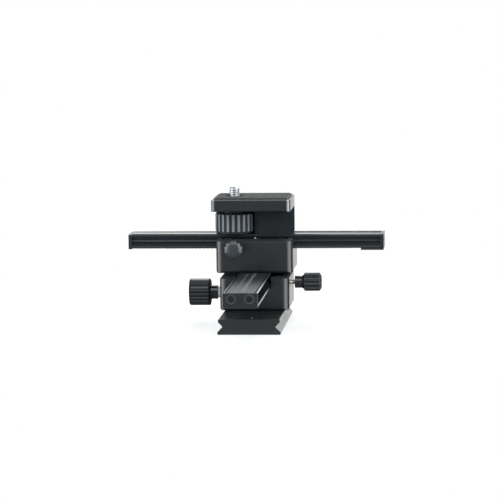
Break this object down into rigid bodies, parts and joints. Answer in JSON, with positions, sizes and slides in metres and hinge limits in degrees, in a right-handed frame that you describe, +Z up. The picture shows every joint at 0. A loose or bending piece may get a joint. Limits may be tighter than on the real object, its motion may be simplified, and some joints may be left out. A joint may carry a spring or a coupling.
{
  "type": "macro focusing rail",
  "caption": "Two-axis macro focusing rail: crossed rack-and-pinion stages with lock knobs on a dovetail base, carrying a padded camera platform with a captive thumbwheel screw.",
  "frame": {"origin": "on the underside of the dovetail base plate, below the middle of the lower carriage", "axes": "+Z up, +Y away from the user along the lower rail, +X to the right along the upper rail"},
  "size_m": [0.157, 0.1606, 0.0834],
  "materials": {
    "black_metal": "black satin anodised",
    "rail_metal": "dark satin anodised with bright edges",
    "black_plastic": "moulded, slightly glossy",
    "rubber": "fine ribbed rubber",
    "steel": "turned",
    "white_nylon": "plain nylon",
    "brass": "machined"
  },
  "bodies": {
    "base": {"base_plate": "black_metal", "base_screws": "steel", "y_carriage": "black_metal", "y_gib": "black_plastic", "y_gib_screws": "steel", "y_drive_bush": "brass", "y_inner_bush": "brass"},
    "y_drive": {"y_pinion_shaft": "steel", "y_drive_spacer": "white_nylon", "y_drive_knob": "black_plastic", "y_knob_grub": "steel"},
    "y_lock_shoe": {"y_lock_shoe": "brass"},
    "y_lock": {"y_lock_screw": "steel", "y_lock_knob": "black_plastic"},
    "y_table": {"y_rail": "rail_metal", "y_rack": "brass", "y_rack_screws": "steel", "y_cap_front": "black_plastic", "y_cap_back": "black_plastic", "y_cap_screws": "steel", "y_rail_stop": "black_metal", "y_stop_screws": "steel", "x_carriage": "black_metal", "x_carriage_screws": "steel", "x_gib": "black_plastic", "x_gib_screws": "steel", "x_drive_bush": "brass", "x_inner_bush": "brass"},
    "x_drive": {"x_pinion_shaft": "steel", "x_drive_spacer": "white_nylon", "x_drive_knob": "black_plastic", "x_knob_grub": "steel"},
    "x_lock_shoe": {"x_lock_shoe": "brass"},
    "x_lock": {"x_lock_screw": "steel", "x_lock_knob": "black_plastic"},
    "x_table": {"x_rail": "rail_metal", "x_rack": "brass", "x_rack_screws": "steel", "x_cap_left": "black_plastic", "x_cap_right": "black_plastic", "x_cap_screws": "steel", "x_rail_stop": "black_metal", "x_stop_screws": "steel", "head_block": "black_metal", "head_screws": "steel", "platform": "black_metal", "platform_screws": "steel", "platform_pad": "rubber"},
    "camera_screw": {"camera_screw": "steel", "thumbwheel": "black_metal", "thrust_washer": "brass", "retaining_ring": "steel"}
  },
  "joints": [
    {"name": "y_slide", "type": "slide", "parent": "base", "child": "y_table", "axis": [0, 1, 0], "range_m": [-0.0003, 0.092]},
    {"name": "y_drive_turn", "type": "hinge", "parent": "base", "child": "y_drive", "pos_m": [-0.02125, 0, 0.0179], "axis": [-1, 0, 0], "range_deg": [-10, 1110]},
    {"name": "y_lock_press", "type": "slide", "parent": "base", "child": "y_lock_shoe", "axis": [-1, 0, 0], "range_m": [-0.0014, 0.00054]},
    {"name": "y_lock_turn", "type": "hinge", "parent": "y_lock_shoe", "child": "y_lock", "pos_m": [0.02125, -0.011, 0.0254], "axis": [-1, 0, 0], "range_deg": [-1010, 392]},
    {"name": "x_slide", "type": "slide", "parent": "y_table", "child": "x_table", "axis": [1, 0, 0], "range_m": [-0.04, 0.052]},
    {"name": "x_drive_turn", "type": "hinge", "parent": "y_table", "child": "x_drive", "pos_m": [0, 0.02125, 0.0406], "axis": [0, 1, 0], "range_deg": [-480, 625]},
    {"name": "x_lock_press", "type": "slide", "parent": "y_table", "child": "x_lock_shoe", "axis": [0, 1, 0], "range_m": [-0.0014, 0.00054]},
    {"name": "x_lock_turn", "type": "hinge", "parent": "x_lock_shoe", "child": "x_lock", "pos_m": [-0.011, -0.02125, 0.0481], "axis": [0, 1, 0], "range_deg": [-1010, 392]},
    {"name": "camera_screw_turn", "type": "hinge", "parent": "x_table", "child": "camera_screw", "pos_m": [-0.0132, -0.002, 0.0625], "axis": [0, 0, 1], "continuous": true}
  ],
  "couplings": [
    {"joint": "y_drive_turn", "follows": "y_slide", "rad_per_m": 192.31},
    {"joint": "x_drive_turn", "follows": "x_slide", "rad_per_m": 192.31},
    {"joint": "y_lock_turn", "follows": "y_lock_press", "rad_per_m": 12566},
    {"joint": "x_lock_turn", "follows": "x_lock_press", "rad_per_m": 12566}
  ]
}
